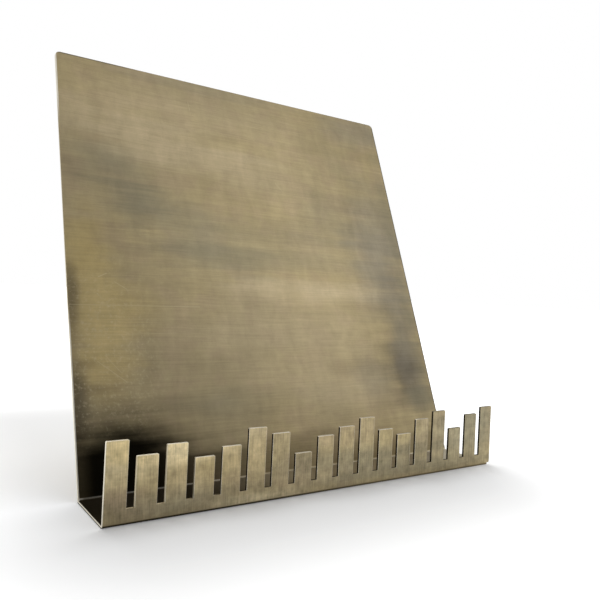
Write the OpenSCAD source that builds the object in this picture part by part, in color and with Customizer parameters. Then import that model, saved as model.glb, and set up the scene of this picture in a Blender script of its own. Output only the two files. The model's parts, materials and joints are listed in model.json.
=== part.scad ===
// Leaning record stand: one sheet folded into a back panel, a shelf and a lip that
// carries a crest of bars, held up by a bent rod leg that hinges on the panel's back.
// Millimetres. The origin is the centre of the shelf's underside. X runs along the
// stand, -Y is its front and +Z is up. Shelf and leg stand on z = 0.

/* [Sheet] */
// Width of the stand, end to end
stand_w = 305; // [240:1:400]
// Thickness of the sheet
sheet_t = 1.5; // [1:0.1:2.5]
// Inside radius of both folds
fold_r = 0.5; // [0.2:0.1:2]
// Depth of the shelf, from the lip's front to the corner under the back panel
shelf_d = 47; // [30:1:80]
// Length of the back panel up its slope, from that corner
back_len = 320; // [270:1:400]
// Lean of the back panel from upright, in degrees
lean = 21.5; // [14:0.5:28]
// Radius of the back panel's two top corners
corner_r = 4; // [1:0.5:12]

/* [Lip] */
// Height of the lip, from the shelf's underside to the tallest bar's top
lip_h = 46; // [30:1:80]
// Height of the plain band that the bars stand on
band_h = 9; // [5:0.5:16]
// Width of one bar
bar_w = 12.5; // [8:0.5:13]
// Radius of the bars' top corners
bar_corner_r = 0.6; // [0.2:0.1:2]
// Radius of the two corners that meet at the right end of the front fold
fold_corner_r = 4; // [3:0.5:8]

/* [Leg] */
// Diameter of the leg's rod
rod_d = 6; // [4:0.5:8]
// Radius of the rod's bends, at the rod's centre line
bend_r = 6; // [5:0.5:12]
// Height of the hinge up the back panel's slope
hinge_up = 230; // [180:1:240]
// Angle between the open leg and upright, in degrees
leg_spread = 19; // [10:0.5:26]
// Length of the bar on the table, from the upright rod's centre line to its end
foot_len = 127; // [60:1:160]
// Length of the stop tail, from the hinge's axis to its end
tail_len = 20; // [14:1:40]
// Chamfer on the rod's two cut ends
rod_chamfer = 0.6; // [0.2:0.1:1.2]

/* [Hinge] */
// Width of the hinge leaf along its pin
leaf_w = 26; // [22:1:40]
// Length of the hinge leaf, from the hinge's axis to its lower edge
leaf_len = 25; // [22:1:40]
// Thickness of the hinge leaf
leaf_t = 1.2; // [0.8:0.1:2]
// Radius of the leaf's two lower corners
leaf_corner_r = 3; // [1:0.5:4]
// How much smaller the rod's radius is turned where it runs in the eye
journal_cut = 0.05; // [0.02:0.01:0.2]
// Radial clearance of that journal in the leaf's rolled eye
eye_gap = 0.05; // [0.02:0.01:0.1]
// Width of the slit where the rolled eye meets its plate
roll_slit = 0.4; // [0.2:0.1:0.8]
// Clearance between the eye's ends and the rod's bends
side_gap = 1; // [0.3:0.1:3]
// Clearance between the stop tail and the back panel when the leg is open
stop_gap = 0.1; // [0.05:0.05:0.3]

/* [Fasteners] */
// Thread diameter of the studs
stud_d = 4; // [3:0.5:5]
// Distance between the two studs
stud_pitch = 13; // [11:0.5:16]
// Distance of the studs below the hinge's axis
stud_drop = 15; // [12:0.5:18]
// Diameter of the studs' weld flange
flange_d = 5.5; // [5:0.1:6.5]
// Thickness of the studs' weld flange
flange_t = 0.8; // [0.4:0.1:1.1]
// Radial clearance of the weld flange in the leaf's hole
flange_gap = 0.2; // [0.1:0.05:0.5]
// Length of the thread that shows past the nut
stud_tip = 2; // [0.5:0.5:5]
// Chamfer on the studs' tips
stud_chamfer = 0.5; // [0.2:0.1:1]
// Diameter of the washers
washer_d = 9; // [7.5:0.5:10.5]
// Thickness of the washers
washer_t = 0.8; // [0.5:0.1:1.5]
// Radial clearance of the washers on the studs
washer_gap = 0.15; // [0.1:0.05:0.4]
// Width of the nuts across their flats
nut_af = 7; // [6:0.5:8]
// Height of the nuts
nut_h = 3.2; // [2:0.1:5]
// Radial clearance of the nuts on the studs
thread_gap = 0.05; // [0.02:0.01:0.1]

/* [Hidden] */
$fn = 64;
brass = "#9b8c62";
dark_brass = "#57503c";
zinc = "#8d8a80";

// Small overlap of cutters past the faces that they open
cut = 1;

// Sheet: the folds' outer radius, the angle that the back fold turns through, and
// the distance from its outer corner to where the round begins
fold_out = fold_r + sheet_t;
back_turn = 90 - lean;
back_set = fold_out * tan(back_turn / 2);
fold_steps = 8;

// How far the round of a corner is set out, so that it crosses the edges
corner_bite = 0.02;

// Bars: their levels along the lip in steps, their number and the gap between them
bar_levels = [8, 6, 7, 5, 6, 8, 7, 4, 6, 7, 8, 6, 5, 7, 8, 5, 7, 8];
bar_count = len(bar_levels);
bar_step = (lip_h - band_h) / max(bar_levels);
bar_pitch = (stand_w - bar_w) / (bar_count - 1);

// Hinge: the radii of the rod, its journal and the eye, and the axis off the panel's back
rod_r = rod_d / 2;
journal_r = rod_r - journal_cut;
eye_in = journal_r + eye_gap;
eye_out = eye_in + leaf_t;
hinge_y = shelf_d / 2 + hinge_up * sin(lean) + eye_out * cos(lean);
hinge_z = hinge_up * cos(lean) - eye_out * sin(lean);

// Leg: half the journal's length, where the two side rods stand along X, how far the
// journal's solid runs into the bends, the leg's length from the hinge's axis to the
// foot bar's centre line, and the tail's turn towards the panel
journal_half = leaf_w / 2 + side_gap;
side_x = journal_half + bend_r;
journal_root = 0.3;
leg_len = (hinge_z - rod_r) / cos(leg_spread);
tail_reach = tail_len - rod_chamfer;
tail_turn = asin((eye_out - stop_gap) / sqrt(tail_reach * tail_reach + rod_r * rod_r)) - atan(rod_r / tail_reach);

// Fasteners: the stack on the panel's back, from the leaf outwards
washer_z = leaf_t;
nut_z = washer_z + washer_t;
stud_len = nut_z + nut_h + stud_tip;

// Stands its children on the back panel: x along the stand, y up the slope from the
// outer corner, and z out of the panel's front, with the panel's back at z = 0
module on_back() {
    translate([0, shelf_d / 2, 0])
        rotate([back_turn, 0, 0])
            children();
}

// Repeats its children at the two studs, with z out of the panel's back
module at_studs() {
    for (side = [-1, 1])
        on_back()
            translate([side * stud_pitch / 2, hinge_up - stud_drop, 0])
                rotate([180, 0, 0])
                    children();
}

// A plate outline with its two corners at the far end rounded
module rounded_end(width, length, radius) {
    translate([-width / 2, 0])
        square([width, length - radius]);
    translate([-width / 2 + radius, 0])
        square([width - 2 * radius, length]);
    for (side = [-1, 1])
        translate([side * (width / 2 - radius), length - radius])
            circle(radius);
}

// Points of a fold's round about a centre, with angles counted from +Y towards +Z
function fold_arc(centre, radius, from, to) = [
    for (i = [0 : fold_steps])
        let (angle = from + (to - from) * i / fold_steps)
            centre + radius * [cos(angle), sin(angle)]
];

// A point on the back panel: its distance up the slope and in from the panel's back
function on_slope(up, inward) = [
    shelf_d / 2 + up * sin(lean) - inward * cos(lean),
    up * cos(lean) + inward * sin(lean)
];

// The folded section without the lip: front fold, shelf, back fold and back panel
module sheet_section() {
    front = [-shelf_d / 2 + fold_out, fold_out];
    back = [shelf_d / 2 - back_set, fold_out];
    polygon(concat(
        fold_arc(front, fold_out, 180, 270),
        fold_arc(back, fold_out, 270, 270 + back_turn),
        [on_slope(back_len, 0), on_slope(back_len, sheet_t)],
        fold_arc(back, fold_r, 270 + back_turn, 270),
        fold_arc(front, fold_r, 270, 180)
    ));
}

// What is cut off a square corner that is to be round: the corner is at the origin, and
// the sheet lies on its -X and -Y side
module corner_scrap(radius) {
    translate([corner_bite - radius, corner_bite - radius])
        difference() {
            square(radius + cut);
            circle(radius);
        }
}

// What is cut off the back panel's two top corners
module top_scraps() {
    on_back()
        translate([0, 0, -cut])
            linear_extrude(sheet_t + 2 * cut)
                for (side = [0, 1])
                    mirror([side, 0])
                        translate([stand_w / 2, back_len])
                            corner_scrap(corner_r);
}

// What is cut off at the right end of the front fold: the lip's lower corner and the
// shelf's front corner, which meet on the fold's line
module fold_scraps() {
    translate([stand_w / 2, -shelf_d / 2, 0]) {
        translate([0, fold_out, 0])
            rotate([90, 0, 0])
                linear_extrude(fold_out + cut)
                    mirror([0, 1])
                        corner_scrap(fold_corner_r);
        translate([0, 0, -cut])
            linear_extrude(fold_out + cut)
                mirror([0, 1])
                    corner_scrap(fold_corner_r);
    }
}

// The lip as it is cut: a plain band with the row of bars on it
module lip_outline() {
    translate([-stand_w / 2, fold_out])
        square([stand_w, band_h - fold_out]);
    for (i = [0 : bar_count - 1])
        translate([-stand_w / 2 + bar_w / 2 + i * bar_pitch, fold_out])
            rounded_end(bar_w, band_h + bar_levels[i] * bar_step - fold_out, bar_corner_r);
}

module folded_sheet() {
    color(brass)
        difference() {
            union() {
                translate([-stand_w / 2, 0, 0])
                    rotate([90, 0, 90])
                        linear_extrude(stand_w)
                            sheet_section();
                translate([0, -shelf_d / 2 + sheet_t, 0])
                    rotate([90, 0, 0])
                        linear_extrude(sheet_t)
                            lip_outline();
            }
            top_scraps();
            fold_scraps();
        }
}

module hinge_leaf() {
    color(dark_brass)
        on_back()
            translate([0, hinge_up, 0])
                rotate([180, 0, 0])
                    difference() {
                        union() {
                            linear_extrude(leaf_t)
                                rounded_end(leaf_w, leaf_len, leaf_corner_r);
                            translate([-leaf_w / 2, 0, eye_out])
                                rotate([0, 90, 0])
                                    cylinder(r = eye_out, h = leaf_w);
                        }
                        translate([-leaf_w / 2 - cut, 0, eye_out])
                            rotate([0, 90, 0])
                                cylinder(r = eye_in, h = leaf_w + 2 * cut);
                        translate([-leaf_w / 2 - cut, 0, leaf_t])
                            cube([leaf_w + 2 * cut, eye_out + cut, roll_slit]);
                        for (side = [-1, 1])
                            translate([side * stud_pitch / 2, stud_drop, -cut])
                                cylinder(r = flange_d / 2 + flange_gap, h = leaf_t + 2 * cut);
                    }
}

module hinge_studs() {
    color(zinc)
        at_studs() {
            cylinder(d = flange_d, h = flange_t);
            cylinder(d = stud_d, h = stud_len - stud_chamfer);
            translate([0, 0, stud_len - stud_chamfer])
                cylinder(r1 = stud_d / 2, r2 = stud_d / 2 - stud_chamfer, h = stud_chamfer);
        }
}

module hinge_washers() {
    color(zinc)
        at_studs()
            translate([0, 0, washer_z])
                difference() {
                    cylinder(d = washer_d, h = washer_t);
                    translate([0, 0, -cut])
                        cylinder(r = stud_d / 2 + washer_gap, h = washer_t + 2 * cut);
                }
}

// A hexagon nut whose corners are turned off at 30 degrees on its outer face
module hinge_nuts() {
    corner = nut_af / sqrt(3);
    color(zinc)
        at_studs()
            translate([0, 0, nut_z])
                difference() {
                    intersection() {
                        cylinder(r = corner, h = nut_h, $fn = 6);
                        rotate_extrude()
                            polygon([
                                [0, -cut], [corner + cut, -cut],
                                [corner + cut, nut_h - (corner + cut - nut_af / 2) * tan(30)],
                                [nut_af / 2, nut_h], [0, nut_h]
                            ]);
                    }
                    translate([0, 0, -cut])
                        cylinder(r = stud_d / 2 + thread_gap, h = nut_h + 2 * cut);
                }
}

// A straight run of the rod up +Z, with a chamfer at its far end where cut is set
module rod_run(length, chamfer = 0) {
    cylinder(r = rod_r, h = length - chamfer);
    if (chamfer > 0)
        translate([0, 0, length - chamfer])
            cylinder(r1 = rod_r, r2 = rod_r - chamfer, h = chamfer);
}

// A quarter bend of the rod: it comes in along +X, ending at the corner's run-in,
// and leaves along +Z. The corner itself is at the origin.
module rod_bend() {
    translate([-bend_r, 0, bend_r])
        rotate([90, 0, 0])
            rotate([0, 0, -90])
                rotate_extrude(angle = 90)
                    translate([bend_r, 0])
                        circle(rod_r);
}

module easel_leg() {
    color(dark_brass)
        translate([0, hinge_y, hinge_z]) {
            // Journal in the hinge's eye
            translate([-journal_half - journal_root, 0, 0])
                rotate([0, 90, 0])
                    cylinder(r = journal_r, h = 2 * (journal_half + journal_root));
            // Stop tail up the panel's back, from the journal's right end
            rotate([tail_turn - lean, 0, 0])
                translate([side_x, 0, 0]) {
                    rod_bend();
                    translate([0, 0, bend_r])
                        rod_run(tail_len - bend_r, rod_chamfer);
                }
            // Upright rod from the journal's left end, and the bar on the table
            rotate([leg_spread, 0, 0])
                translate([-side_x, 0, 0]) {
                    rotate([180, 0, 180])
                        rod_bend();
                    translate([0, 0, -bend_r])
                        rotate([180, 0, 0])
                            rod_run(leg_len - 2 * bend_r);
                    translate([0, 0, -leg_len]) {
                        rotate([0, 0, 180])
                            rod_bend();
                        translate([bend_r, 0, 0])
                            rotate([0, 90, 0])
                                rod_run(foot_len - bend_r, rod_chamfer);
                    }
                }
        }
}

folded_sheet();
hinge_leaf();
hinge_studs();
hinge_washers();
hinge_nuts();
easel_leg();
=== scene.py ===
import json
from math import asin, cos, pi, radians, sin

import bmesh
import bpy
from mathutils import Matrix, Vector


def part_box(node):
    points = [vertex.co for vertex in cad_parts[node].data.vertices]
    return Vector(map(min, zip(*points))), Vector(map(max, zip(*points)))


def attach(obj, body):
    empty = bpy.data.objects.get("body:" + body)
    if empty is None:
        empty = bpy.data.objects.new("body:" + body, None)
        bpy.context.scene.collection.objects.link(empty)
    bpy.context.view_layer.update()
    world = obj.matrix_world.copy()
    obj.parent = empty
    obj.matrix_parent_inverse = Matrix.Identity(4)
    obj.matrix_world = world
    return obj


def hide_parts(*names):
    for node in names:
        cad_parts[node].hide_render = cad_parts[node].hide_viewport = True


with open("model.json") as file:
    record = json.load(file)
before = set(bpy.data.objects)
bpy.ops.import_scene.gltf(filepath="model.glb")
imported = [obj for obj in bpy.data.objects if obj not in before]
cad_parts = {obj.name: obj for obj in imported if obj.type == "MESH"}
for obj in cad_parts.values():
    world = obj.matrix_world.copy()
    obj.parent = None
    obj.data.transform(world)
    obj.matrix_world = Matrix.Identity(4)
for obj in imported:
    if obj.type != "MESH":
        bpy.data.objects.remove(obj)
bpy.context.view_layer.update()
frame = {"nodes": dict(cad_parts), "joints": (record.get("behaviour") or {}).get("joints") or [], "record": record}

mm = 0.001
print("frame loaded, nodes:", ", ".join(sorted(frame["nodes"])))

# What the frame says about the sheet: size, thickness and how far the back leans
mounts = {mount["name"]: mount for mount in frame["record"]["mounts"]}
sheetLow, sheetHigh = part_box("folded_sheet")
sheetWidth = sheetHigh.x - sheetLow.x
sheetThick = mounts["ledge"]["pos_m"][2]
shelfHalf = -sheetLow.y                         # from the middle to the lip's front
backLean = asin(mounts["backrest"]["axis"][2])  # from upright
backLength = (sheetHigh.z - sheetThick * sin(backLean)) / cos(backLean)
backNormal = Vector((0, -cos(backLean), sin(backLean)))
backRise = Vector((0, sin(backLean), cos(backLean)))
backCorner = Vector((0, shelfHalf, 0))          # where the back panel starts, at its outer face


# Small helpers for node trees

def addNode(tree, kind, **settings):
    made = tree.nodes.new("ShaderNode" + kind)
    for name, value in settings.items():
        setattr(made, name, value)
    return made


def feed(tree, socket, value):
    if isinstance(value, bpy.types.NodeSocket):
        tree.links.new(value, socket)
    else:
        socket.default_value = value


def feedAll(tree, made, values):
    for socket, value in zip(made.inputs, values):
        feed(tree, socket, value)
    return made.outputs[0]


def calc(tree, operation, *values, clamp=False):
    return feedAll(tree, addNode(tree, "Math", operation=operation, use_clamp=clamp), values)


def product(tree, first, *others):
    for other in others:
        first = calc(tree, "MULTIPLY", first, other)
    return first


def highest(tree, first, *others):
    for other in others:
        first = calc(tree, "MAXIMUM", first, other)
    return first


def inverse(tree, value):
    return calc(tree, "SUBTRACT", 1.0, value)


def isAbove(tree, value, limit):
    return calc(tree, "GREATER_THAN", value, limit)


def isBelow(tree, value, limit):
    return calc(tree, "LESS_THAN", value, limit)


def size(tree, value):
    return calc(tree, "ABSOLUTE", value)


def vectorCalc(tree, operation, *values):
    made = addNode(tree, "VectorMath", operation=operation)
    feedAll(tree, made, values)
    return made.outputs["Value"] if operation in ("DOT_PRODUCT", "LENGTH") else made.outputs["Vector"]


def asVector(tree, *values):
    return feedAll(tree, addNode(tree, "CombineXYZ"), values)


def parts(tree, vector):
    made = addNode(tree, "SeparateXYZ")
    feed(tree, made.inputs[0], vector)
    return made.outputs


def mapRange(tree, values, **settings):
    made = addNode(tree, "MapRange", **settings)
    for name, item in zip(("Value", "From Min", "From Max", "To Min", "To Max"), values):
        feed(tree, made.inputs[name], item)
    return made.outputs["Result"]


def softStep(tree, value, low, high, fromValue=0.0, toValue=1.0):
    return mapRange(tree, (value, low, high, fromValue, toValue), interpolation_type="SMOOTHSTEP")


def scaled(tree, value, low, high, fromValue, toValue):
    return mapRange(tree, (value, low, high, fromValue, toValue), clamp=True)


def between(tree, share, first, second):
    return scaled(tree, share, 0.0, 1.0, first, second)


def swing(tree, pattern):
    return between(tree, pattern, -1.0, 1.0)


def mixColour(tree, share, first, second, blend="MIX"):
    made = addNode(tree, "Mix", data_type="RGBA", blend_type=blend, clamp_factor=True)
    feed(tree, made.inputs["Factor"], share)
    feed(tree, made.inputs[6], first)                  # the two colour sockets
    feed(tree, made.inputs[7], second)
    return made.outputs[2]


def noise(tree, vector, scale, detail, roughness, warp=0.0):
    made = addNode(tree, "TexNoise", noise_dimensions="3D")
    for name, item in (("Vector", vector), ("Scale", scale), ("Detail", detail),
                       ("Roughness", roughness), ("Distortion", warp)):
        feed(tree, made.inputs[name], item)
    return made.outputs[0]


def stretchedNoise(tree, vector, stretch, settings):
    return noise(tree, vectorCalc(tree, "MULTIPLY", vector, stretch), *settings)


def spreadOut(tree, value, low=0.0, high=1.0):
    # Nearly all of a noise's values lie between 0.3 and 0.7
    return scaled(tree, value, 0.3, 0.7, low, high)


def useGroup(tree, group, *values):
    # The values go in by their order, the place first
    made = addNode(tree, "Group", node_tree=group)
    feedAll(tree, made, values)
    return made.outputs


def newGroup(name, numbers, results, vectors=()):
    # It takes a place and some numbers, and gives numbers and vectors
    group = bpy.data.node_groups.new(name, "ShaderNodeTree")
    addSocket = group.interface.new_socket
    addSocket(name="Vector", in_out="INPUT", socket_type="NodeSocketVector")
    for label, value in numbers.items():
        addSocket(name=label, in_out="INPUT", socket_type="NodeSocketFloat").default_value = value
    for label in results:
        addSocket(name=label, in_out="OUTPUT", socket_type="NodeSocketFloat")
    for label in vectors:
        addSocket(name=label, in_out="OUTPUT", socket_type="NodeSocketVector")
    start = group.nodes.new("NodeGroupInput")
    end = group.nodes.new("NodeGroupOutput")
    return group, start.outputs, end.inputs


def newObject(name, data):
    made = bpy.data.objects.new(name, data)
    bpy.context.scene.collection.objects.link(made)
    return made


def newMaterial(name):
    material = bpy.data.materials.new(name)
    material.use_nodes = True
    tree = material.node_tree
    shader = tree.nodes["Principled BSDF"]
    return material, tree, shader


def makeMetal(tree, shader, colour, roughness):
    feed(tree, shader.inputs["Base Color"], colour)
    feed(tree, shader.inputs["Roughness"], roughness)
    shader.inputs["Metallic"].default_value = 1.0


def addBump(tree, shader, given, height):
    bump = addNode(tree, "Bump")
    bump.inputs["Strength"].default_value = given["bumpStrength"]
    bump.inputs["Distance"].default_value = given["bumpDistance"]
    feed(tree, bump.inputs["Height"], height)
    tree.links.new(bump.outputs[0], shader.inputs["Normal"])


# Effects that several finishes share. A noise is given as scale, detail, roughness and
# distortion, and a stretch as three factors on the place that the noise is taken at

grainSet = {
    "wanderNoise": (9.0, 2.0, 0.5),
    "wander": 0.004,               # metres that a streak wanders sideways
    "fineNoise": (1.0, 3.0, 0.7),
    "fineShare": 0.6,              # against the coarse streaks
    "coarseNoise": (1.0, 3.0, 0.6),
    "coarseStretch": (0.5, 0.4, 0.4),
    "bandNoise": (1.0, 3.0, 0.5, 0.4),
    "bandStretch": (0.2, 0.06, 0.06),
}
patinaSet = {
    "seedSteps": (1.7, 3.1, 5.3),
    "alongNoise": (1.0, 4.0, 0.55, 0.25),
    "alongStretch": (0.35, 1.3, 1.3),
    "alongShare": 0.55,            # against the upright stains
    "uprightNoise": (1.0, 4.0, 0.5, 0.25),
    "uprightStretch": (1.4, 0.4, 0.4),
    "stainEdge": (0.40, 0.60),
    "tintNoise": (0.8, 3.0, 0.5, 0.3),
    "tintShift": (11.0, 4.0, 7.0),
    "tintEdge": (0.36, 0.64),
    "mottleNoise": (13.0, 4.0, 0.65),
    "speckleNoise": (34.0, 3.0, 0.65),
    "speckleEdge": (0.5, 0.72),
}
edgeSet = {
    "samples": 6,
    "turn": (0.995, 0.9),          # cosines of the turns at which the rub starts and is full
    "patchNoise": (240.0, 3.0, 0.6),
}
scratchSet = {
    # The slant of each set of lines in radians, and the stretch that makes them long
    "slants": [(0.6, (0.12, 3.0, 8.0)), (-0.95, (0.18, 4.0, 11.0))],
    "lineNoise": (1.0, 1.0, 0.4),
    "lineWidth": 0.010,            # as a range of the noise's values round its middle
    "placeNoise": (0.9, 2.0, 0.5),
    "placeSteps": (7, 3, 5),
    "placeEdge": 0.8,              # where the lines start to show, as a share of their rarity
}


def makeBrushGrain(given):
    # Streaks left by an abrasive belt: the vector comes in with the streaks along its X
    group, source, result = newGroup(
        "Brush grain", {"Streak length": 0.03, "Streak width": 0.0008}, ("Grain", "Bands"))
    along = calc(group, "DIVIDE", 1.0, source["Streak length"])
    across = calc(group, "DIVIDE", 1.0, source["Streak width"])
    bent, aside = noise(group, source["Vector"], *given["wanderNoise"]), given["wander"]
    wander = asVector(group, 0.0, between(group, bent, -aside, aside), between(group, bent, aside, -aside))
    moved = vectorCalc(group, "ADD", source["Vector"], wander)
    drawn = vectorCalc(group, "MULTIPLY", moved, asVector(group, along, across, across))
    fine = noise(group, drawn, *given["fineNoise"])
    coarse = stretchedNoise(group, drawn, given["coarseStretch"], given["coarseNoise"])
    bands = stretchedNoise(group, drawn, given["bandStretch"], given["bandNoise"])
    fine = product(group, fine, given["fineShare"])
    grain = calc(group, "ADD", fine, product(group, coarse, 1 - given["fineShare"]))
    feed(group, result["Grain"], spreadOut(group, grain))
    feed(group, result["Bands"], spreadOut(group, bands))
    return group


def makePatinaClouds(given):
    # Soft stains left where the darkening was wiped back by hand, along the piece and across it
    group, source, result = newGroup(
        "Patina clouds", {"Stain size": 0.08, "Seed": 0.0}, ("Stains", "Tint", "Mottle", "Speckle"))
    shift = asVector(group, *(product(group, source["Seed"], step) for step in given["seedSteps"]))
    sized = vectorCalc(group, "DIVIDE", source["Vector"], source["Stain size"])
    moved = vectorCalc(group, "ADD", sized, shift)
    along = stretchedNoise(group, moved, given["alongStretch"], given["alongNoise"])
    upright = stretchedNoise(group, moved, given["uprightStretch"], given["uprightNoise"])
    along = product(group, along, given["alongShare"])
    wiped = calc(group, "ADD", along, product(group, upright, 1 - given["alongShare"]))
    tint = noise(group, vectorCalc(group, "ADD", moved, given["tintShift"]), *given["tintNoise"])
    speckle = noise(group, moved, *given["speckleNoise"])
    feed(group, result["Stains"], softStep(group, wiped, *given["stainEdge"]))
    feed(group, result["Tint"], softStep(group, tint, *given["tintEdge"]))
    feed(group, result["Mottle"], spreadOut(group, noise(group, moved, *given["mottleNoise"])))
    feed(group, result["Speckle"], softStep(group, speckle, *given["speckleEdge"]))
    return group


def makeEdgeRubAndHighlight(given):
    # Finds sharp edges by how far a rounded normal turns away from the true one; the mask marks worn edges, and on
    # the sheet also its painted edge highlights
    group, source, result = newGroup(
        "Edge rub and highlight", {"Width": 0.0004, "Unevenness": 0.6}, ("Rub",), ("Turned",))
    rounded = addNode(group, "Bevel", samples=given["samples"])
    feed(group, rounded.inputs["Radius"], source["Width"])
    true = addNode(group, "NewGeometry")
    turn = vectorCalc(group, "DOT_PRODUCT", rounded.outputs["Normal"], true.outputs["Normal"])
    edge = softStep(group, turn, *given["turn"])
    patchy = spreadOut(group, noise(group, source["Vector"], *given["patchNoise"]))
    kept = inverse(group, product(group, patchy, source["Unevenness"]))
    feed(group, result["Rub"], calc(group, "MULTIPLY", edge, kept, clamp=True))
    feed(group, result["Turned"], rounded.outputs["Normal"])
    return group


def makeHandlingScratches(given):
    # Sparse straight hairlines in two slanting directions, seen from the front
    group, source, result = newGroup(
        "Handling scratches", {"Spacing": 0.02, "Rarity": 0.75}, ("Scratch",))
    sized = vectorCalc(group, "DIVIDE", source["Vector"], source["Spacing"])
    firstShown = product(group, source["Rarity"], given["placeEdge"])
    found = 0.0
    for slant, stretch in given["slants"]:
        turned = addNode(group, "VectorRotate", rotation_type="Y_AXIS")
        feed(group, turned.inputs["Vector"], sized)
        turned.inputs["Angle"].default_value = slant
        lines = stretchedNoise(group, turned.outputs[0], stretch, given["lineNoise"])
        thin = softStep(group, size(group, calc(group, "SUBTRACT", lines, 0.5)), given["lineWidth"], 0.0)
        shift = tuple(slant * step for step in given["placeSteps"])
        places = noise(group, vectorCalc(group, "ADD", sized, shift), *given["placeNoise"])
        few = softStep(group, places, firstShown, source["Rarity"])
        found = highest(group, found, product(group, thin, few))
    feed(group, result["Scratch"], found)
    return group


brushGrain = makeBrushGrain(grainSet)
patinaClouds = makePatinaClouds(patinaSet)
edgeRubAndHighlight = makeEdgeRubAndHighlight(edgeSet)
handlingScratches = makeHandlingScratches(scratchSet)
print("shared effects made")


# Camera

cameraSet = {
    "place": Vector((-0.2600, -0.3562, 0.1297)),  # metres
    "azimuth": -33.9,              # degrees, from the front towards the left end
    "elevation": -0.5,
    "roll": 2.7,
    "photoSize": 600,              # pixels
    "focal": 640.7,                # pixels
    "axisPoint": (297.9, 285.1),   # where the lens axis meets the photograph
    "sensor": 36.0,
    "clip": (0.01, 50.0),
}


def makeCamera(given):
    azimuth, elevation, roll = (radians(given[name]) for name in ("azimuth", "elevation", "roll"))
    ahead = Vector((-sin(azimuth) * cos(elevation), cos(azimuth) * cos(elevation), -sin(elevation)))
    level = ahead.cross(Vector((0, 0, 1))).normalized()
    upright = level.cross(ahead)
    right = cos(roll) * level + sin(roll) * upright
    up = cos(roll) * upright - sin(roll) * level
    pixels = given["photoSize"]
    data = bpy.data.cameras.new("photoCamera")
    data.sensor_width = given["sensor"]
    data.lens = given["focal"] / pixels * given["sensor"]
    data.shift_x = (pixels / 2 - given["axisPoint"][0]) / pixels
    data.shift_y = (given["axisPoint"][1] - pixels / 2) / pixels
    data.clip_start, data.clip_end = given["clip"]
    camera = newObject("photoCamera", data)
    turn = Matrix((right, up, -ahead)).transposed().to_4x4()
    camera.matrix_world = Matrix.Translation(given["place"]) @ turn
    bpy.context.scene.camera = camera


makeCamera(cameraSet)
print("camera placed")


# Studio: pale floor, soft lamps and a pale room with a darker side behind the camera

studioSet = {
    "floorHalf": 12.0,
    "floorColour": (0.80, 0.805, 0.81, 1),
    "floorRoughness": 0.9,
    "floorSpecular": 0.1,
    "nearFill": 0.09,              # how much the floor glows by itself, beside the stand
    "farFill": 0.78,               # and away from it
    "fadeReach": 0.21,             # metres from the first to the second
    "shadeLow": (-0.132, -0.030),  # the patch of floor, X and Y, that counts as beside the stand
    "shadeHigh": (0.082, 0.260),
    "lamps": [                     # name, place, width in metres, power in watts
        ("topLamp", (0.22, 0.62, 1.20), 1.2, 10.6),
        ("sideLamp", (0.98, -0.98, 1.22), 1.0, 1.3),
    ],
    "lampAim": Vector((0, 0.05, 0.12)),
    "roomLight": 0.55,             # what reaches dull surfaces
    "skySide": 0.62,               # what metal sees level with it
    "skyTop": 0.72,                # and overhead
    "skyRise": (0.0, 0.9),         # the heights of the two, as the Z of the way there
    "skyLeft": 0.98,               # what metal sees past the stand's left end
    "leftFade": (-0.70, -0.96),    # the X of the way there
    "skyBehind": 1.0,              # and behind that end
    "behindWay": (-0.35, 0.93, 0.10),
    "behindFade": (0.80, 0.92),    # cosines of the angles from that way
    "darkSide": 0.02,              # what metal sees where the photographer stands
    "darkAzimuth": 0.0,            # degrees, and so are the next three
    "darkElevation": 5.0,
    "darkInner": 24.0,
    "darkOuter": 46.0,
}


def makeFloor(given):
    half = given["floorHalf"]
    corners = [(-half, -half, 0), (half, -half, 0), (half, half, 0), (-half, half, 0)]
    mesh = bpy.data.meshes.new("floor")
    mesh.from_pydata(corners, [], [(0, 1, 2, 3)])
    floor = newObject("floor", mesh)
    material, tree, shader = newMaterial("Pale floor")
    shader.inputs["Base Color"].default_value = given["floorColour"]
    shader.inputs["Roughness"].default_value = given["floorRoughness"]
    shader.inputs["Specular IOR Level"].default_value = given["floorSpecular"]
    rays = addNode(tree, "LightPath").outputs
    seen = highest(tree, rays["Is Camera Ray"], rays["Is Glossy Ray"], rays["Is Transmission Ray"])
    shader.inputs["Emission Color"].default_value = (1, 1, 1, 1)
    # Painted shade: the floor glows less beside the stand, so it reads darker round it, and up to white away from
    # it
    low, high = Vector(given["shadeLow"]).to_3d(), Vector(given["shadeHigh"]).to_3d()
    place = addNode(tree, "TexCoord").outputs["Object"]
    beside = vectorCalc(tree, "ABSOLUTE", vectorCalc(tree, "SUBTRACT", place, tuple((low + high) / 2)))
    beside = vectorCalc(tree, "SUBTRACT", beside, tuple((high - low) / 2))
    away = vectorCalc(tree, "LENGTH", vectorCalc(tree, "MAXIMUM", beside, (0, 0, 0)))
    fill = softStep(tree, away, 0.0, given["fadeReach"], given["nearFill"], given["farFill"])
    feed(tree, shader.inputs["Emission Strength"], product(tree, seen, fill))
    mesh.materials.append(material)


def makeLamp(name, place, width, power, aim):
    data = bpy.data.lights.new(name, "AREA")
    data.shape = "DISK"
    data.size = width
    data.energy = power
    lamp = newObject(name, data)
    lamp.location = place
    lamp.rotation_mode = "QUATERNION"
    lamp.rotation_quaternion = (aim - Vector(place)).to_track_quat("-Z", "Y")


def addGlow(tree, strength):
    glow = addNode(tree, "Background")
    glow.inputs["Color"].default_value = (1, 1, 1, 1)
    feed(tree, glow.inputs["Strength"], strength)
    return glow.outputs[0]


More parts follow.
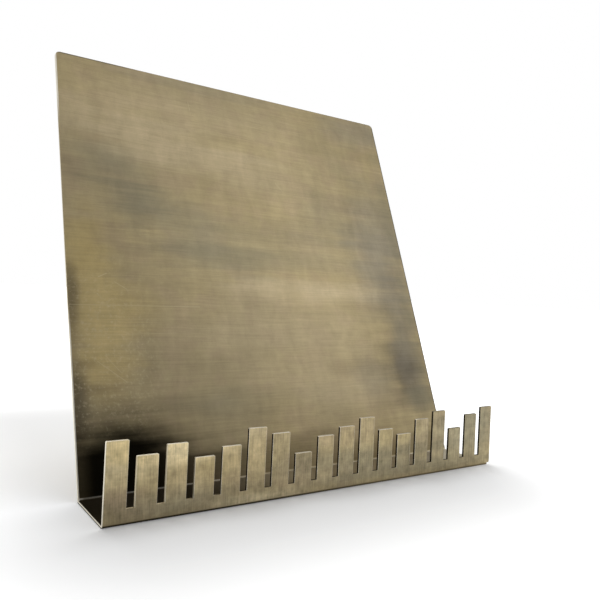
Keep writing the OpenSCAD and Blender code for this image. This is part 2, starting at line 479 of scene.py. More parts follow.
def makeRoom(given):
    world = bpy.data.worlds.new("studio")
    world.use_nodes = True
    bpy.context.scene.world = world
    tree = world.node_tree
    tree.nodes.clear()
    rays = addNode(tree, "LightPath").outputs
    direction = addNode(tree, "TexCoord").outputs["Generated"]
    azimuth, elevation = radians(given["darkAzimuth"]), radians(given["darkElevation"])
    middle = (sin(azimuth) * cos(elevation), -cos(azimuth) * cos(elevation), sin(elevation))
    way = vectorCalc(tree, "NORMALIZE", direction)
    towards = vectorCalc(tree, "DOT_PRODUCT", way, middle)
    dark = softStep(tree, towards, cos(radians(given["darkOuter"])), cos(radians(given["darkInner"])))
    split = parts(tree, direction)
    pale = softStep(tree, split["Z"], *given["skyRise"], given["skySide"], given["skyTop"])
    pale = softStep(tree, split["X"], *given["leftFade"], pale, given["skyLeft"])
    behind = vectorCalc(tree, "DOT_PRODUCT", way, given["behindWay"])
    pale = softStep(tree, behind, *given["behindFade"], pale, given["skyBehind"])
    metal = addGlow(tree, between(tree, dark, pale, given["darkSide"]))
    dull, white = addGlow(tree, given["roomLight"]), addGlow(tree, 1.0)
    straight = highest(tree, rays["Is Camera Ray"], rays["Is Transmission Ray"])
    room = feedAll(tree, addNode(tree, "MixShader"), (rays["Is Glossy Ray"], dull, metal))
    room = feedAll(tree, addNode(tree, "MixShader"), (straight, room, white))
    tree.links.new(room, addNode(tree, "OutputWorld").inputs["Surface"])


makeFloor(studioSet)
for lampName, lampPlace, lampWidth, lampPower in studioSet["lamps"]:
    makeLamp(lampName, lampPlace, lampWidth, lampPower, studioSet["lampAim"])
makeRoom(studioSet)
bpy.context.scene.view_settings.view_transform = "Standard"
print("studio built")


# Folded sheet: brushed brass, darkened, then wiped back unevenly; shade in the trough, highlights on edges and
# ends and contact shadows at the foot are painted into its colour

sheetSet = {
    "brass": (0.43, 0.350, 0.203, 1),
    "golden": (0.50, 0.390, 0.180, 1),
    "honey": (0.60, 0.475, 0.235, 1),
    "sandy": (0.56, 0.460, 0.290, 1),
    "olive": (0.26, 0.235, 0.160, 1),
    "grey": (0.31, 0.277, 0.208, 1),
    "umber": (0.150, 0.127, 0.086, 1),
    # The trough's painted shade, dark at the left and warmer to the right
    "trough": (0.007, 0.006, 0.0035, 1),
    "troughWarm": (0.040, 0.028, 0.014, 1),
    "chestnut": (0.190, 0.145, 0.080, 1),
    "rosy": (0.400, 0.300, 0.205, 1),
    # Wear; also the tone of the painted highlight along the fold at the right
    "wearAndSheen": (0.66, 0.57, 0.37, 1),
    "cream": (0.94, 0.80, 0.52, 1),
    "polishedHighlight": (0.97, 0.93, 0.82, 1),      # the sheet's two ends, bare metal painted bright; also the painted highlights and reflections
    "cutEdge": (0.016, 0.013, 0.009, 1),    # the cuts round the bars, painted dark as a reflection of the trough; also the painted contact shadow along the feet
    "cutLit": (0.62, 0.54, 0.38, 1),        # the same at the left end, lighter as a painted highlight
    "arris": (0.10, 0.090, 0.062, 1),       # the back panel's outline
    "smoke": (0.142, 0.119, 0.091, 1),
    "shelfShade": (0.024, 0.020, 0.013, 1),  # painted shade on the shelf's left end
    "edgeTint": (0.55, 0.50, 0.38, 1),      # how the brass reflects at a glancing angle
    # Which face a point is on: the first four in thicknesses of the sheet, the next two as
    # parts of a normal
    "faceDepth": 1.1,              # a face's own metal lies within this
    "backStart": 2.0,              # the back panel starts above this
    "lipStart": 1.34,              # and the lip above this
    "endDepth": 0.25,
    "facing": 0.5,                 # from here on it faces a way
    "facingUp": 0.4,
    "barFoot": 0.012,              # the cuts above this height are the bars' tops
    # Brush marks along the sheet and across it, each with their length and width, and how far
    # they and the mottling lighten and darken the back panel and the lip
    "streaks": (0.034, 0.0008),
    "streaksDepth": (0.125, 0.09),
    "bandsDepth": (0.045, 0.045),
    "crossStreaks": (0.011, 0.0006),
    "crossStreaksDepth": (0.045, 0.26),
    "crossBand": 0.065,            # broad marks across the fronts of both
    "mottleDepth": (0.035, 0.22),
    # Stains all over
    "stains": (0.075, 3.0),        # size and seed
    "sideShift": 0.4,              # how far apart the stains of the sheet's two faces are taken
    "stainDepth": (0.21, 0.62),    # all over and on the panel's back
    "goldenDepth": 0.16,
    "blushStretch": (0.7, 1.0, 1.0),
    "blushNoise": (62.0, 3.0, 0.6),
    "blushEdge": (0.45, 0.62),
    "blushDepth": 0.25,
    # What tears the outlines of the placed stains
    "tornStretch": (0.6, 1.0, 1.0),
    "tornNoise": (22.0, 4.0, 0.6),
    "tornDepth": (0.7, -0.7),
    "tornBands": 0.55,             # how much the bands along the sheet add to it
    "stainTorn": 0.45,             # how far, in half sizes of a stain
    "stainFade": (1.35, 0.1),      # where it starts and is full, in half sizes
    # Places along the sheet are shares of its width, from the middle
    # The trough's painted shade
    "troughHeight": (0.0595, 0.031),  # how far its dark reaches up the back, left and right
    "troughFall": (-0.42, -0.12),  # where it goes from the first to the second
    "troughCorner": (0.90, 0.034),  # how much lower it stays at the left corner, and how far in
    "troughTorn": 0.010,
    "troughFull": 0.45,            # full below this share of its height
    "troughTurn": (-0.36, 0.0),    # where it turns from left to right in tone
    "troughDark": (1.0, 0.34),     # how dark it is there
    "troughEnd": (0.88, 0.011),    # how dark at the left end itself, and how far in
    "shelfFade": (-0.30, 0.04),    # where the shelf's dark starts to fade and ends
    "shelfGlint": (0.0, 0.46),       # where the shelf is painted bright as a reflection
    "shelfShine": (0.2, 0.75),     # and how bright at both
    "lipBackHeight": (0.040, 0.006),  # the lip's back, from its top to its foot
    "lipBackDark": (0.1, 0.50),
    "creaseHeight": (0.00158, 0.0028),  # where a painted highlight runs along the fold behind the shelf
    "creaseShine": (0.22, 0.72),   # left and right
    "creaseCorner": (0.40, 0.004),  # how much brighter at the left corner, and how far in
    "leftStrip": (0.0009, 0.6),    # the painted highlight along the left end, its width and full share
    "stripShine": 0.9,
    "stripFoot": (0.125, 0.095),   # it fades upwards between these heights
    "stripHead": (0.255, 0.285),   # and comes back between these
    "endShine": (0.94, 0.15),      # the ends' cut edge, painted bright, and where the strip has faded
    "lineFull": 0.5,               # the dark outline is full within this share of its width
    "outline": (0.0011, 0.75),     # the dark line along the panel's right end, its width and depth
    "topLine": (0.0012, 0.70),     # and along its top, at the left
    "topLineEnd": (-0.28, -0.36),  # where that starts and is full
    "endFoot": (0.42, 0.30),       # the painted contact shadow along the ends' lower edge, as shares of the thickness
    "footLine": (0.0020, 0.0010),  # heights of the painted contact shadow along the foot of the lip
    "footDepth": (0.95, 0.50),     # how dark it is, left and right
    "footTurn": 0.2,               # how far from the middle both are reached
    # Edges, with painted highlights and painted dark reflections, and scratches
    "rub": (0.0007, 0.5),          # width and unevenness
    "rimTurn": (0.04, 0.20),       # how far an edge's normal turns before it counts as rubbed and takes the painted highlight
    "rimDepth": 0.85,              # how bright the bars' outlines are painted, as rub and highlight
    "rimRight": 0.45,              # the painted highlight on their right sides against the left ones and the tops
    "rimGap": 0.12,                # and the feet of the gaps
    "rimFade": (0.22, 0.32),       # where the outlines' painted highlight turns dark
    "cutFade": (-0.42, -0.22),     # where the cuts turn from painted highlight to painted dark reflection
    # How far the bars' upward cut faces take the outlines' painted highlight
    "barTopShine": 0.8,
    "cutDepth": 0.97,
    "scratches": (0.03, 0.70),     # spacing and rarity
    "scratchDepth": 0.3,
    "speckPlace": (-0.132, 0.080, 0),  # rubbed specks round the back panel's lower left corner
    "speckSize": (0.045, 0.090, 1),
    "speckFade": (1.2, 0.3),
    "speckDepth": 0.38,
    "roughness": (0.32, 0.42),     # clean and stained
    "roughStreaks": 0.03,
    "anisotropy": 0.78,
    "crossBump": 0.3,
    "bumpStrength": 0.12,
    "bumpDistance": 0.0002,
    "hairWidth": 0.35,             # millimetres
    # Hairline scratches on the back panel's front: X and height up the slope of both
    # ends in millimetres, strength
    "hairlines": [
        (-152, 122, -60, 122.6, 0.45),
        (-150, 101, -80, 103, 0.25),
        (-132, 142, -126, 145, 0.75),
        (-121, 139, -113, 134, 0.55),
        (-133.4, 130, -133.0, 130, 0.9),
        (-136, 84, -118, 70, 0.55),
        (-131, 88, -121, 76, 0.40),
        (-49, 300, -48, 292, 0.45),
        (24, 236, 30, 229, 0.40),
    ],
    # Stains on its front: X and height up the slope of the middle, half width and half height
    # in millimetres, colour, strength
    "backStains": [
        (-118, 236, 30, 22, "olive", 0.66),
        (-100, 202, 26, 28, "olive", 0.74),
        (-148, 226, 11, 14, "umber", 0.25),
        (-138, 160, 20, 34, "golden", 0.90),
        (-134, 90, 24, 34, "golden", 0.95),
        (-132, 118, 20, 30, "honey", 0.50),
        (-120, 118, 30, 20, "golden", 0.60),
        (-130, 98, 24, 30, "honey", 0.66),
        (-152, 52, 9, 30, "chestnut", 0.85),
        (-151, 128, 5, 19, "umber", 0.55),
        (-151, 112, 6, 36, "chestnut", 0.40),
        (-147, 82, 15, 5, "chestnut", 0.40),
        (-143, 66, 22, 4, "chestnut", 0.45),
        (-104, 52, 48, 10, "umber", 0.24),
        (-150, 60, 9, 26, "umber", 0.60),
        (-142, 268, 22, 20, "sandy", 0.45),
        (-96, 262, 34, 24, "sandy", 0.72),
        (-60, 250, 80, 20, "sandy", 0.76),
        (-100, 290, 46, 24, "sandy", 0.34),
        (-84, 188, 26, 18, "olive", 0.26),
        (0, 240, 46, 26, "sandy", 0.50),
        (-20, 290, 100, 20, "sandy", 0.28),
        (0, 176, 120, 24, "olive", 0.30),
        (-56, 178, 54, 30, "olive", 0.50),
        (-38, 156, 44, 24, "olive", 0.12),
        (66, 139, 92, 12, "sandy", 0.90),
        (16, 108, 90, 26, "sandy", 0.45),
        (30, 66, 74, 18, "sandy", 0.26),
        (-48, 53, 36, 12, "olive", 0.42),
        (30, 55, 50, 8, "olive", 0.12),
        (66, 52, 60, 16, "sandy", 0.45),
        (40, 162, 110, 12, "olive", 0.26),
        (84, 73, 30, 10, "chestnut", 0.30),
        (106, 58, 20, 10, "umber", 0.28),
        (129, 82, 28, 44, "umber", 0.66),
        (129, 80, 13, 13, "chestnut", 0.55),
        (126, 77, 13, 12, "smoke", 0.86),
        (122, 66, 9, 9, "umber", 0.40),
        (130, 60, 13, 14, "smoke", 0.45),
        (126, 130, 20, 46, "chestnut", 0.30),
        (92, 66, 20, 20, "grey", 0.35),
        (132, 104, 20, 56, "grey", 0.70),
        (133, 106, 14, 18, "umber", 0.30),
        (124, 176, 36, 40, "grey", 0.75),
        (116, 140, 36, 34, "grey", 0.40),
        (136, 158, 22, 24, "smoke", 0.26),
        (130, 206, 30, 56, "grey", 0.45),
        (146, 170, 9, 140, "olive", 0.45),
        (126, 45, 46, 12, "umber", 0.38),
        (138, 45, 20, 12, "olive", 0.60),
        (70, 212, 40, 26, "olive", 0.32),
        (100, 262, 30, 16, "olive", 0.25),
        (130, 306, 50, 18, "grey", 0.50),
        (-40, 316, 100, 6, "grey", 0.25),
    ],
    # The same with smooth outlines
    "softStains": [
        (-150, 50, 12, 12, "umber", 0.25),
        (133, 72, 12, 10, "troughWarm", 0.20),
    ],
    # And on the lip's front: X, height and the rest as above
    "lipStains": [
        (-132, 40, 36, 18, "wearAndSheen", 0.80),
        (-84, 45, 60, 11, "sandy", 0.55),
        (-141, 15, 14, 6, "rosy", 0.40),
        (-112, 6, 34, 6, "olive", 0.55),
        (-104, 20, 12, 12, "sandy", 0.50),
        (-72, 30, 20, 12, "sandy", 0.60),
        (-96, 30, 60, 18, "golden", 0.45),
        (30, 28, 60, 18, "golden", 0.20),
        (84, 32, 80, 18, "olive", 0.40),
        (-60, 3, 44, 5, "wearAndSheen", 0.60),
        (-20, 26, 22, 6, "umber", 0.30),
        (0, 11, 40, 7, "sandy", 0.30),
        (52, 33, 22, 10, "golden", 0.22),
        (60, 10, 26, 5, "sandy", 0.20),
        (84, 22, 24, 9, "umber", 0.34),
        (128, 30, 32, 24, "olive", 0.58),
        (136, 18, 14, 12, "umber", 0.25),
        (112, 6, 44, 6, "olive", 0.22),
        (-122, 42, 46, 13, "honey", 0.90),
        (-104, 41, 34, 14, "cream", 0.52),
        (126, 42, 46, 12, "umber", 0.38),
        (134, 29, 40, 14, "olive", 0.50),
        (48, 7, 80, 6, "olive", 0.60),
        (144, 9, 18, 9, "olive", 0.40),
        (149, 26, 12, 20, "umber", 0.22),
        (-141, 9, 20, 10, "umber", 0.42),
        (-104, 10, 34, 8, "olive", 0.40),
        (8, 20, 58, 9, "olive", 0.50),
        (62, 17, 44, 8, "olive", 0.34),
        (138, 42, 20, 11, "olive", 0.60),
    ],
}


def alongSheet(tree, x, shares, fromValue=0.0, toValue=1.0):
    low, high = (share * sheetWidth for share in shares)
    return softStep(tree, x, low, high, fromValue, toValue)


def fromLeftEnd(tree, x, low, high, fromValue=0.0, toValue=1.0):
    return softStep(tree, x, low - sheetWidth / 2, high - sheetWidth / 2, fromValue, toValue)


def sheetFaces(tree, given):
    # Which part of the sheet a point is on, and whether it lies on a cut edge
    where = addNode(tree, "TexCoord").outputs
    place, normal = where["Object"], where["Normal"]
    spot, way = parts(tree, place), parts(tree, normal)
    fromCorner = vectorCalc(tree, "SUBTRACT", place, tuple(backCorner))
    rise = vectorCalc(tree, "DOT_PRODUCT", fromCorner, tuple(backRise))
    depth = vectorCalc(tree, "DOT_PRODUCT", fromCorner, tuple(backNormal))
    outward = vectorCalc(tree, "DOT_PRODUCT", normal, tuple(backNormal))
    skin, facing = sheetThick * given["faceDepth"], given["facing"]
    backStart, lipStart = sheetThick * given["backStart"], sheetThick * given["lipStart"]
    onBack = product(tree, isBelow(tree, depth, skin), isAbove(tree, rise, backStart))
    onLip = product(tree, isBelow(tree, spot["Y"], skin - shelfHalf), isAbove(tree, spot["Z"], lipStart))
    backEdge = product(tree, onBack, isBelow(tree, size(tree, outward), facing))
    lipEdge = product(tree, onLip, isBelow(tree, size(tree, way["Y"]), facing))
    outerEnd = isAbove(tree, size(tree, spot["X"]), sheetWidth / 2 - sheetThick * given["endDepth"])
    endEdge = product(tree, isAbove(tree, size(tree, way["X"]), facing), outerEnd)
    aboveFoot = isAbove(tree, spot["Z"], given["barFoot"])
    barTop = product(tree, onLip, isAbove(tree, way["Z"], facing), aboveFoot)
    # Inside the trough: the shelf's top, the lip's back and the foot of the back panel
    low = isBelow(tree, spot["Z"], backStart)
    shelfTop = product(tree, isAbove(tree, way["Z"], given["facingUp"]), low)
    lipBack = product(tree, onLip, isAbove(tree, way["Y"], facing))
    behindLip = isAbove(tree, spot["Y"], skin - shelfHalf)
    backFront = product(tree, behindLip, isAbove(tree, outward, facing))
    return dict(
        place=place, x=spot["X"], z=spot["Z"], rise=rise, outward=outward,
        onBack=onBack, onLip=onLip,
        front=product(tree, onBack, isAbove(tree, outward, facing)),
        behind=product(tree, onBack, isBelow(tree, outward, -facing)),
        forward=isBelow(tree, way["Y"], -facing),   # the fronts of the back panel and the lip
        inside=highest(tree, shelfTop, lipBack, backFront),
        shelfTop=shelfTop, lipBack=lipBack, backFront=backFront,
        aboveFoot=aboveFoot, barTop=barTop,
        endEdge=endEdge, cutEdge=highest(tree, backEdge, lipEdge),
    )


def makeHairlines(tree, given, spread):
    hair = 0.0
    for x0, rise0, x1, rise1, strength in given["hairlines"]:
        start, run = Vector((x0, rise0, 0)) * mm, Vector((x1 - x0, rise1 - rise0, 0)) * mm
        offset = vectorCalc(tree, "SUBTRACT", spread, tuple(start))
        passed = vectorCalc(tree, "DOT_PRODUCT", offset, tuple(run))
        share = calc(tree, "DIVIDE", passed, run.length_squared, clamp=True)
        nearest = addNode(tree, "VectorMath", operation="SCALE")
        nearest.inputs[0].default_value = tuple(run)
        feed(tree, nearest.inputs["Scale"], share)
        gap = vectorCalc(tree, "LENGTH", vectorCalc(tree, "SUBTRACT", offset, nearest.outputs[0]))
        line = product(tree, softStep(tree, gap, given["hairWidth"] * mm, 0.0), strength)
        hair = highest(tree, hair, line)
    return hair


def sheetMarks(tree, given, part):
    # The two faces of the sheet get different stains, though they are close together
    side = product(tree, calc(tree, "SIGN", part["outward"]), given["sideShift"])
    moved = vectorCalc(tree, "ADD", part["place"], asVector(tree, 0.0, 0.0, side))
    split = parts(tree, moved)
    upright = asVector(tree, split["Z"], split["X"], split["Y"])
    clouds = useGroup(tree, patinaClouds, moved, *given["stains"])
    along = useGroup(tree, brushGrain, moved, *given["streaks"])
    across = useGroup(tree, brushGrain, upright, *given["crossStreaks"])
    scratch = useGroup(tree, handlingScratches, moved, *given["scratches"])["Scratch"]
    ragged = stretchedNoise(tree, part["place"], given["tornStretch"], given["tornNoise"])
    ragged = spreadOut(tree, ragged, *given["tornDepth"])
    onSlope = asVector(tree, part["x"], part["rise"])
    return dict(
        moved=moved, onSlope=onSlope, upLip=asVector(tree, part["x"], part["z"]),
        stains=clouds["Stains"], tint=clouds["Tint"],
        mottle=clouds["Mottle"], speckle=clouds["Speckle"],
        streaks=along["Grain"], bands=along["Bands"],
        crossStreaks=across["Grain"], crossBands=across["Bands"],
        scratch=product(tree, scratch, inverse(tree, part["inside"])),
        torn=calc(tree, "ADD", ragged, product(tree, swing(tree, along["Bands"]), given["tornBands"])),
        hair=product(tree, makeHairlines(tree, given, onSlope), part["front"]),
    )


def wipeSheet(tree, given, part, marks):
    depth = between(tree, part["behind"], *given["stainDepth"])
    colour = mixColour(tree, product(tree, marks["stains"], depth), given["brass"], given["olive"])
    colour = mixColour(tree, product(tree, marks["tint"], given["goldenDepth"]), colour, given["golden"])
    blush = stretchedNoise(tree, marks["moved"], given["blushStretch"], given["blushNoise"])
    blush = product(tree, softStep(tree, blush, *given["blushEdge"]), given["blushDepth"])
    return mixColour(tree, blush, colour, given["rosy"])


def layStains(tree, given, stains, colour, spread, torn, mask):
    torn = product(tree, torn, given["stainTorn"])
    for x, height, halfWidth, halfHeight, tone, strength in given[stains]:
        away = vectorCalc(tree, "SUBTRACT", spread, (x * mm, height * mm, 0))
        away = vectorCalc(tree, "DIVIDE", away, (halfWidth * mm, halfHeight * mm, 1))
        reach = calc(tree, "ADD", vectorCalc(tree, "LENGTH", away), torn)
        stain = product(tree, softStep(tree, reach, *given["stainFade"]), strength, mask)
        colour = mixColour(tree, stain, colour, given[tone])
    return colour


def darkenTrough(tree, given, part, torn, colour):
    # Painted shade: the trough's shade and the dark it reflects are painted in on the back panel's foot, the
    # shelf's top and the lip's back, most at the left end; further down a painted reflection brightens the shelf
    # towards the right and a painted highlight runs along the fold
    x, shelfTop = part["x"], part["shelfTop"]
    toRight = alongSheet(tree, x, given["troughTurn"])
    reach = between(tree, alongSheet(tree, x, given["troughFall"]), *given["troughHeight"])
    lowest, inwards = given["troughCorner"]
    reach = product(tree, reach, fromLeftEnd(tree, x, 0.0, inwards, lowest, 1.0))
    height = calc(tree, "ADD", part["rise"], product(tree, torn, given["troughTorn"]))
    low = softStep(tree, height, reach, product(tree, reach, given["troughFull"]))
    endDark, inwards = given["troughEnd"]
    ends = fromLeftEnd(tree, x, 0.0, inwards, endDark, 1.0)
    backDark = product(tree, part["backFront"], low, between(tree, toRight, *given["troughDark"]), ends)
    shelfDark = alongSheet(tree, x, given["shelfFade"], 1.0, 0.0)
    lipDark = softStep(tree, part["z"], *given["lipBackHeight"], *given["lipBackDark"])
    lipDark = product(tree, part["lipBack"], lipDark)
    troughShade = highest(tree, backDark, product(tree, shelfTop, shelfDark), lipDark)
    troughShadeTone = mixColour(tree, toRight, given["trough"], given["troughWarm"])
    troughShadeTone = mixColour(tree, shelfTop, troughShadeTone, given["shelfShade"])
    colour = mixColour(tree, troughShade, colour, troughShadeTone)
    # Painted reflection: the shelf brightens towards the right
    shelfReflection = alongSheet(tree, x, given["shelfGlint"], *given["shelfShine"])
    shelfReflection = product(tree, shelfReflection, inverse(tree, shelfDark), shelfTop)
    colour = mixColour(tree, shelfReflection, colour, given["polishedHighlight"])
    # Painted highlight along the fold behind the shelf
    foot, top = given["creaseHeight"]
    risen = softStep(tree, part["z"], foot, (foot * 3 + top) / 4)
    creaseHighlight = product(tree, risen, softStep(tree, part["z"], top, (foot + top) / 2), part["inside"])
    more, inwards = given["creaseCorner"]
    corner = fromLeftEnd(tree, x, inwards, inwards / 3, 0.0, more)
    shine = calc(tree, "ADD", between(tree, toRight, *given["creaseShine"]), corner)
    tone = mixColour(tree, toRight, given["polishedHighlight"], given["wearAndSheen"])
    return mixColour(tree, product(tree, creaseHighlight, shine), colour, tone), troughShade


def brushSheet(tree, given, part, marks, colour):
    # Fine streaks along the stand, faint ones across them
    streak = 1.0
    for pattern in ("streaks", "crossStreaks", "mottle", "bands"):
        depth = between(tree, part["onLip"], *given[pattern + "Depth"])
        streak = calc(tree, "ADD", streak, product(tree, swing(tree, marks[pattern]), depth))
    broad = product(tree, swing(tree, marks["crossBands"]), given["crossBand"], part["forward"])
    streak = calc(tree, "ADD", streak, broad)
    tone = feedAll(tree, addNode(tree, "CombineColor"), (streak, streak, streak))
    return mixColour(tree, 1.0, colour, tone, "MULTIPLY")


def scratchSheet(tree, given, part, marks, troughShade, colour):
    away = vectorCalc(tree, "SUBTRACT", marks["onSlope"], given["speckPlace"])
    away = vectorCalc(tree, "LENGTH", vectorCalc(tree, "DIVIDE", away, given["speckSize"]))
    specks = product(tree, softStep(tree, away, *given["speckFade"]), marks["speckle"], given["speckDepth"])
    # No specks where the trough's painted shade lies
    specks = product(tree, specks, part["front"], inverse(tree, troughShade))
    scratch = product(tree, marks["scratch"], given["scratchDepth"])
    return mixColour(tree, highest(tree, scratch, marks["hair"], specks), colour, given["wearAndSheen"])


def rubAndHighlightEdges(tree, given, part, colour):
    # Edges round the bars are rubbed and carry a painted highlight, strongest where they face left or up and
    # turning dark towards the right; the bars' cut sides are painted dark as a reflection of the trough, lighter
    # at the left end; edges round the back panel are darkened
    rub, turned = useGroup(tree, edgeRubAndHighlight, part["place"], *given["rub"])
    turned = parts(tree, turned)
    low, high = given["rimTurn"]
    leftward = softStep(tree, turned["X"], -low, -high)
    rightward = softStep(tree, turned["X"], low, high, 0.0, given["rimRight"])
    tops = between(tree, part["aboveFoot"], given["rimGap"], 1.0)
    upward = product(tree, softStep(tree, turned["Z"], low, high), tops)
    rim = product(tree, rub, part["forward"], highest(tree, leftward, rightward, upward))
    toDark = alongSheet(tree, part["x"], given["rimFade"])
    rimTone = mixColour(tree, toDark, given["polishedHighlight"], given["arris"])
    colour = mixColour(tree, product(tree, rim, given["rimDepth"]), colour, rimTone)
    colour = mixColour(tree, product(tree, rub, part["onBack"]), colour, given["arris"])
    # The bars' cut sides: painted dark reflection of the trough, lighter at the left end as a painted highlight,
    # and their tops take the outlines' painted highlight
    cut = mixColour(tree, alongSheet(tree, part["x"], given["cutFade"]), given["cutLit"], given["cutEdge"])
    cut = mixColour(tree, product(tree, part["barTop"], given["barTopShine"]), cut, rimTone)
    return mixColour(tree, product(tree, part["cutEdge"], given["cutDepth"]), colour, cut)


def outlineSheet(tree, given, part, colour):
    # The back panel is dark along its right end and its top, and carries a painted highlight along its left end;
    # the sheet's cut ends are painted bright as a highlight
    x, rise, endEdge = part["x"], part["rise"], part["endEdge"]
    lines = []
    for place, end, name in ((x, sheetWidth / 2, "outline"), (rise, backLength, "topLine")):
        width, depth = given[name]
        lines.append(softStep(tree, place, end - width, end - width * given["lineFull"], 0.0, depth))
    lines[1] = product(tree, lines[1], alongSheet(tree, x, given["topLineEnd"]))
    line = product(tree, highest(tree, *lines), part["onBack"])
    colour = mixColour(tree, line, colour, given["arris"])
    width, full = given["leftStrip"]
    shown = softStep(tree, rise, *given["stripFoot"])
    shown = calc(tree, "ADD", shown, softStep(tree, rise, *given["stripHead"]))
    strip = product(tree, fromLeftEnd(tree, x, width, width * full), part["backFront"])
    strip = product(tree, strip, shown, given["stripShine"])
    faded = product(tree, part["onBack"], inverse(tree, shown))
    ends = product(tree, endEdge, between(tree, faded, *given["endShine"]))
    colour = mixColour(tree, highest(tree, strip, ends), colour, given["polishedHighlight"])
    # Painted contact shadow along the foot of the ends and of the lip
    low, high = (share * sheetThick for share in given["endFoot"])
    lower = product(tree, softStep(tree, part["z"], low, high), endEdge)
    colour = mixColour(tree, lower, colour, given["cutEdge"])
    lipFootShadow = product(tree, softStep(tree, part["z"], *given["footLine"]), inverse(tree, endEdge))
    turn = sheetWidth * given["footTurn"]
    lipFootShadow = product(tree, lipFootShadow, scaled(tree, x, -turn, turn, *given["footDepth"]))
    return mixColour(tree, lipFootShadow, colour, given["cutEdge"])


def makeSheetBrass(given):
    material, tree, shader = newMaterial("Antique brass sheet")
    part = sheetFaces(tree, given)
    marks = sheetMarks(tree, given, part)
    colour = wipeSheet(tree, given, part, marks)
    # The listed stains show only on the fronts of the back panel and the lip
    slope, torn = marks["onSlope"], marks["torn"]
    lipFront = product(tree, part["forward"], inverse(tree, part["backFront"]))
    colour = layStains(tree, given, "backStains", colour, slope, torn, part["front"])
    colour = layStains(tree, given, "softStains", colour, slope, 0.0, part["front"])
    colour = layStains(tree, given, "lipStains", colour, marks["upLip"], torn, lipFront)
    # Painted shade in the trough, a painted reflection on the shelf and a painted highlight along the fold
    colour, troughShade = darkenTrough(tree, given, part, torn, colour)
    colour = brushSheet(tree, given, part, marks, colour)
    colour = scratchSheet(tree, given, part, marks, troughShade, colour)
    colour = rubAndHighlightEdges(tree, given, part, colour)
    colour = outlineSheet(tree, given, part, colour)
    rough = between(tree, marks["stains"], *given["roughness"])
    streaky = product(tree, swing(tree, marks["streaks"]), given["roughStreaks"])
    makeMetal(tree, shader, colour, calc(tree, "ADD", rough, streaky))
    shader.inputs["Anisotropic"].default_value = given["anisotropy"]
    shader.inputs["Specular Tint"].default_value = given["edgeTint"]
    along = addNode(tree, "Tangent", direction_type="RADIAL", axis="X")
    tree.links.new(along.outputs[0], shader.inputs["Tangent"])
    height = product(tree, marks["crossStreaks"], given["crossBump"])
    height = calc(tree, "ADD", marks["streaks"], height)
    addBump(tree, shader, given, calc(tree, "SUBTRACT", height, marks["scratch"]))
    return material


def dress(name, material):
    for slot in frame["nodes"][name].material_slots:
        slot.material = material


sheetBrass = makeSheetBrass(sheetSet)
dress("folded_sheet", sheetBrass)
print("folded sheet finished")


# Rod leg and hinge leaf: brass darkened almost to black, rubbed where it is handled

darkSet = {
    # Each piece's material, the length and width of its streaks, the size and seed of its stains
    "pieces": [
        ("easel_leg", "Darkened brass rod", (0.03, 0.0007), (0.03, 5.0)),
        ("hinge_leaf", "Darkened brass leaf", (0.012, 0.0006), (0.012, 8.0)),
    ],
    "dark": (0.075, 0.062, 0.042, 1),
    "brown": (0.15, 0.115, 0.07, 1),
    "stainDepth": 0.7,
    "rubbed": (0.42, 0.33, 0.18, 1),
    "rub": (0.0005, 0.7),          # width and unevenness
    "rubDepth": 0.6,
    "scratches": (0.012, 0.68),    # spacing and rarity
    "scratchDepth": 0.4,
    "soleHeight": (0.0008, 0.00024),  # the underside is rubbed from this height above the table
    "soleMottle": (0.4, 1.0),
    "soleDepth": 0.7,
    "roughness": (0.29, 0.42),
    "bumpStrength": 0.1,
    "bumpDistance": 0.0002,
}


def makeDarkBrass(given, name, streaks, stains):
    material, tree, shader = newMaterial(name)
    place = addNode(tree, "TexCoord").outputs["Object"]
    clouds = useGroup(tree, patinaClouds, place, *stains)
    grain = useGroup(tree, brushGrain, place, *streaks)["Grain"]
    rub = useGroup(tree, edgeRubAndHighlight, place, *given["rub"])["Rub"]
    scratch = useGroup(tree, handlingScratches, place, *given["scratches"])["Scratch"]
    stained = product(tree, clouds["Stains"], given["stainDepth"])
    colour = mixColour(tree, stained, given["dark"], given["brown"])
    # What stands on the table is rubbed bright along its underside
    sole = softStep(tree, parts(tree, place)["Z"], *given["soleHeight"])
    mottled = between(tree, clouds["Mottle"], *given["soleMottle"])
    sole = product(tree, sole, mottled, given["soleDepth"])
    rubbed = product(tree, rub, given["rubDepth"])
    bright = highest(tree, rubbed, product(tree, scratch, given["scratchDepth"]), sole)
    colour = mixColour(tree, bright, colour, given["rubbed"])
    makeMetal(tree, shader, colour, between(tree, grain, *given["roughness"]))
    addBump(tree, shader, given, calc(tree, "SUBTRACT", grain, scratch))
    return material


for pieceName, metalName, pieceStreaks, pieceStains in darkSet["pieces"]:
    dress(pieceName, makeDarkBrass(darkSet, metalName, pieceStreaks, pieceStains))
print("leg and leaf finished")


# Studs, washers and nuts: dull zinc plate

zincSet = {
    "plate": (0.46, 0.45, 0.42, 1),
    "dull": (0.30, 0.29, 0.26, 1),
    "bright": (0.7, 0.69, 0.65, 1),  # rubbed edges
    "stains": (0.004, 2.0),        # size and seed
    "rub": (0.0002, 0.5),          # width and unevenness
    "rubDepth": 0.5,
    "roughness": (0.38, 0.53),
}


def makeZincPlate(given):
    material, tree, shader = newMaterial("Dull zinc plate")
    place = addNode(tree, "TexCoord").outputs["Object"]
    clouds = useGroup(tree, patinaClouds, place, *given["stains"])
    rub = useGroup(tree, edgeRubAndHighlight, place, *given["rub"])["Rub"]
    colour = mixColour(tree, clouds["Stains"], given["plate"], given["dull"])
    colour = mixColour(tree, product(tree, rub, given["rubDepth"]), colour, given["bright"])
    makeMetal(tree, shader, colour, between(tree, clouds["Speckle"], *given["roughness"]))
    return material


zincPlate = makeZincPlate(zincSet)
for name in ("hinge_washers", "hinge_nuts"):
    dress(name, zincPlate)
print("washers and nuts finished")


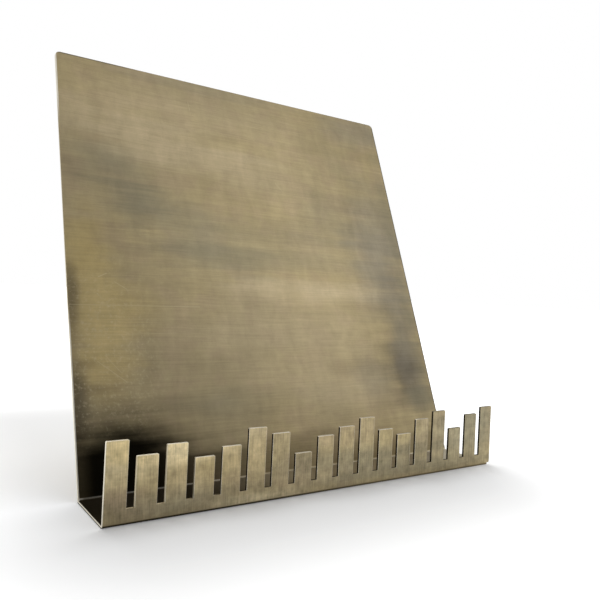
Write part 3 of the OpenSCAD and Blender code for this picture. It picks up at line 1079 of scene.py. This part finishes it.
# Weld studs with their M4 thread, in millimetres, on the back panel below the leg's hinge

studSet = {
    "thread": 4.0,
    "coarse": 0.7,              # the thread's pitch
    "cutDepth": 0.43,
    "root": 0.2,                # how much of half a turn is the groove's flat bottom
    "flank": 0.65,              # and how much its side
    "length": 7.2,
    "chamfer": 0.5,
    "flange": 5.5,
    "flangeThick": 0.8,
    "flangeBevel": 0.1,
    "drop": 15.0,               # below the hinge's axis
    "around": 40,
    "ringsPerTurn": 10,
    "sharpAngle": 40,           # degrees
}


def threadRadius(given, height, angle):
    major = given["thread"] / 2
    phase = (height / given["coarse"] - angle / (2 * pi)) % 1.0
    ridge = min(max((abs(2 * phase - 1) - given["root"]) / given["flank"], 0.0), 1.0)
    past = max(height - (given["length"] - given["chamfer"]), 0.0)
    return min(major - given["cutDepth"] * (1 - ridge), major - past)


def makeThreadedStuds(given):
    low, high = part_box("hinge_studs")
    apart = (high.x - low.x) / mm - given["flange"]
    hinge = Vector(frame["joints"][0]["pos_m"])
    rise = (hinge - backCorner).dot(backRise) - given["drop"] * mm
    right, outwards = Vector((1, 0, 0)), -backNormal
    turn = Matrix((right, outwards.cross(right), outwards)).transposed().to_4x4()
    around, rim, bevel = given["around"], given["flange"] / 2, given["flangeBevel"]
    foot, shank = given["flangeThick"], given["length"] - given["flangeThick"]
    steps = round(shank / given["coarse"] * given["ringsPerTurn"])
    rings = [(0.0, rim), (foot - bevel, rim), (foot, rim - bevel)]
    rings += [(foot + shank * step / steps, None) for step in range(steps + 1)]
    form = bmesh.new()
    for side in (-1, 1):
        middle = backCorner + backRise * rise + Vector((side * apart / 2 * mm, 0, 0))
        place = Matrix.Translation(middle) @ turn
        rows = []
        for height, radius in rings:
            row = []
            for spot in range(around):
                angle = 2 * pi * spot / around
                reach = threadRadius(given, height, angle) if radius is None else radius
                point = Vector((reach * cos(angle), reach * sin(angle), height)) * mm
                row.append(form.verts.new(place @ point))
            rows.append(row)
        for lower, upper in zip(rows, rows[1:]):
            for spot in range(around):
                after = (spot + 1) % around
                form.faces.new((lower[spot], lower[after], upper[after], upper[spot]))
        form.faces.new(tuple(reversed(rows[0])))
        form.faces.new(tuple(rows[-1]))
    mesh = bpy.data.meshes.new("threadedStuds")
    form.to_mesh(mesh)
    form.free()
    mesh.shade_smooth()
    mesh.set_sharp_from_angle(angle=radians(given["sharpAngle"]))
    mesh.materials.append(zincPlate)
    studs = newObject("threadedStuds", mesh)
    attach(studs, "stand")
    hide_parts("hinge_studs")


makeThreadedStuds(studSet)
print("studs threaded")
